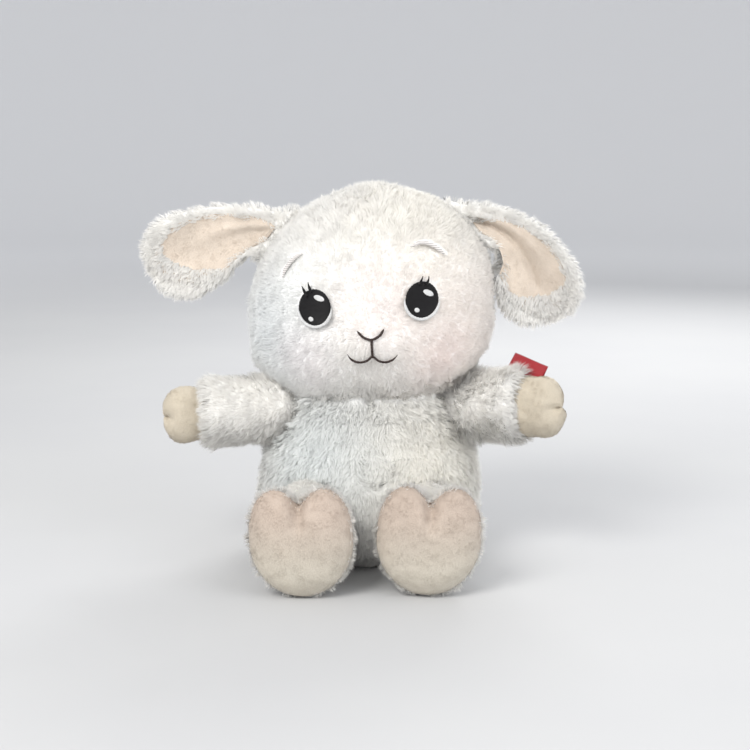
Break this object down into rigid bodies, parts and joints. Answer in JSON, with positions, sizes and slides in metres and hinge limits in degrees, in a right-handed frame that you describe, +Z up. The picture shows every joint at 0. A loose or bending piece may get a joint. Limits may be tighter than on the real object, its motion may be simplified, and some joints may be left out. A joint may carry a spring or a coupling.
{
  "type": "plush night light",
  "caption": "Sitting plush lamb night light with soft jointed head, ears and limbs, lamps inside the head and belly, a belly press switch and a battery case behind a back flap.",
  "frame": {"origin": "middle of the flat face that the torso sits on", "axes": "-Y is where the face looks, +X is the lamb's own left side, +Z is up"},
  "size_m": [0.3007, 0.2107, 0.2535],
  "materials": {
    "white_plush": "short shaggy pile",
    "brown_velour": "short velour",
    "black_thread": "satin embroidery",
    "white_thread": "satin embroidery",
    "dark_thread": "embroidery",
    "red_ribbon": "woven ribbon",
    "lining_cloth": "plain weave",
    "hook_tape": "hook and loop",
    "white_plastic": "fine grain",
    "grey_plastic": "fine grain",
    "frosted_plastic": "frosted",
    "cell_jacket": "shrink film",
    "steel": "plated",
    "green_board": "solder mask",
    "black_epoxy": "moulded",
    "clear_epoxy": "clear",
    "red_cable": "smooth"
  },
  "bodies": {
    "torso": {"torso": "white_plush", "tail": "white_plush", "loop_tape": "hook_tape", "pocket_pouch": "lining_cloth", "case_front": "white_plastic", "case_back": "white_plastic", "case_screw_left": "steel", "case_screw_right": "steel", "cell_1": "cell_jacket", "cell_2": "cell_jacket", "cell_3": "cell_jacket", "contact_1": "steel", "contact_2": "steel", "contact_3": "steel", "contact_4": "steel", "circuit_board": "green_board", "controller_chip": "black_epoxy", "switch_housing": "grey_plastic", "button_housing": "white_plastic", "tact_switch": "black_epoxy", "belly_lamp_cup": "white_plastic", "belly_led_board": "green_board", "belly_led": "clear_epoxy", "belly_lamp_dome": "frosted_plastic", "belly_lamp_lead": "red_cable", "belly_button_lead": "red_cable", "head_lead": "red_cable"},
    "head": {"head": "white_plush", "eye_left": "black_thread", "eye_right": "black_thread", "eye_rim_left": "white_thread", "eye_rim_right": "white_thread", "eye_shine_left": "white_thread", "eye_shine_right": "white_thread", "nose_and_smile_stitch": "dark_thread", "head_lamp_cup": "white_plastic", "head_led_board": "green_board", "head_led": "clear_epoxy", "head_lamp_dome": "frosted_plastic"},
    "ear_left": {"ear_left": "white_plush", "ear_lining_left": "brown_velour"},
    "ear_right": {"ear_right": "white_plush", "ear_lining_right": "brown_velour"},
    "arm_left": {"arm_left": "white_plush", "hand_left": "brown_velour", "side_tag": "red_ribbon"},
    "arm_right": {"arm_right": "white_plush", "hand_right": "brown_velour"},
    "leg_left": {"leg_left": "white_plush", "foot_left": "brown_velour"},
    "leg_right": {"leg_right": "white_plush", "foot_right": "brown_velour"},
    "flap": {"back_flap": "white_plush", "hook_tape": "hook_tape"},
    "door": {"battery_door": "white_plastic", "battery_door_screw": "steel"},
    "slider": {"switch_slider": "black_epoxy"},
    "button": {"belly_press_pad": "white_plush", "button_cap": "white_plastic"}
  },
  "joints": [
    {"name": "head_nod", "type": "hinge", "parent": "torso", "child": "head", "pos_m": [0, 0, 0.104], "axis": [1, 0, 0], "range_deg": [-6, 5], "stiffness_Nm_per_rad": 4, "deforming": ["head_lead"]},
    {"name": "ear_left_swing", "type": "hinge", "parent": "head", "child": "ear_left", "pos_m": [0.06663, -0.00276, 0.22859], "axis": [-0.6762, 0, 0.7367], "range_deg": [-6, 24], "stiffness_Nm_per_rad": 0.3},
    {"name": "ear_right_swing", "type": "hinge", "parent": "head", "child": "ear_right", "pos_m": [-0.06096, 0.00237, 0.22089], "axis": [0.6453, 0, 0.7639], "range_deg": [-18, 18], "stiffness_Nm_per_rad": 0.3},
    {"name": "arm_left_swing", "type": "hinge", "parent": "torso", "child": "arm_left", "pos_m": [0.062, -0.006, 0.1045], "axis": [0, 0, 1], "range_deg": [-4, 36], "stiffness_Nm_per_rad": 0.3},
    {"name": "arm_right_swing", "type": "hinge", "parent": "torso", "child": "arm_right", "pos_m": [-0.062, -0.006, 0.102], "axis": [0, 0, 1], "range_deg": [-6, 26], "stiffness_Nm_per_rad": 0.3},
    {"name": "leg_left_lift", "type": "hinge", "parent": "torso", "child": "leg_left", "pos_m": [0.038, -0.0495, 0.0315], "axis": [-1, 0, 0], "range_deg": [0, 16], "stiffness_Nm_per_rad": 0.4},
    {"name": "leg_right_lift", "type": "hinge", "parent": "torso", "child": "leg_right", "pos_m": [-0.038, -0.0525, 0.0315], "axis": [-1, 0, 0], "range_deg": [0, 16], "stiffness_Nm_per_rad": 0.4},
    {"name": "flap_lift", "type": "hinge", "parent": "torso", "child": "flap", "pos_m": [0, 0.05452, 0.0885], "axis": [1, 0, 0], "range_deg": [0, 85]},
    {"name": "door_out", "type": "slide", "parent": "torso", "child": "door", "axis": [0, 1, 0], "range_m": [0, 0.01]},
    {"name": "switch_slide", "type": "slide", "parent": "torso", "child": "slider", "axis": [1, 0, 0], "range_m": [0, 0.003]},
    {"name": "belly_press", "type": "slide", "parent": "torso", "child": "button", "axis": [0, 1, 0], "range_m": [0, 0.002], "stiffness_N_per_m": 400}
  ],
  "couplings": [
    {"joint": "door_out", "follows": "flap_lift", "m_per_rad": 0.0067}
  ]
}
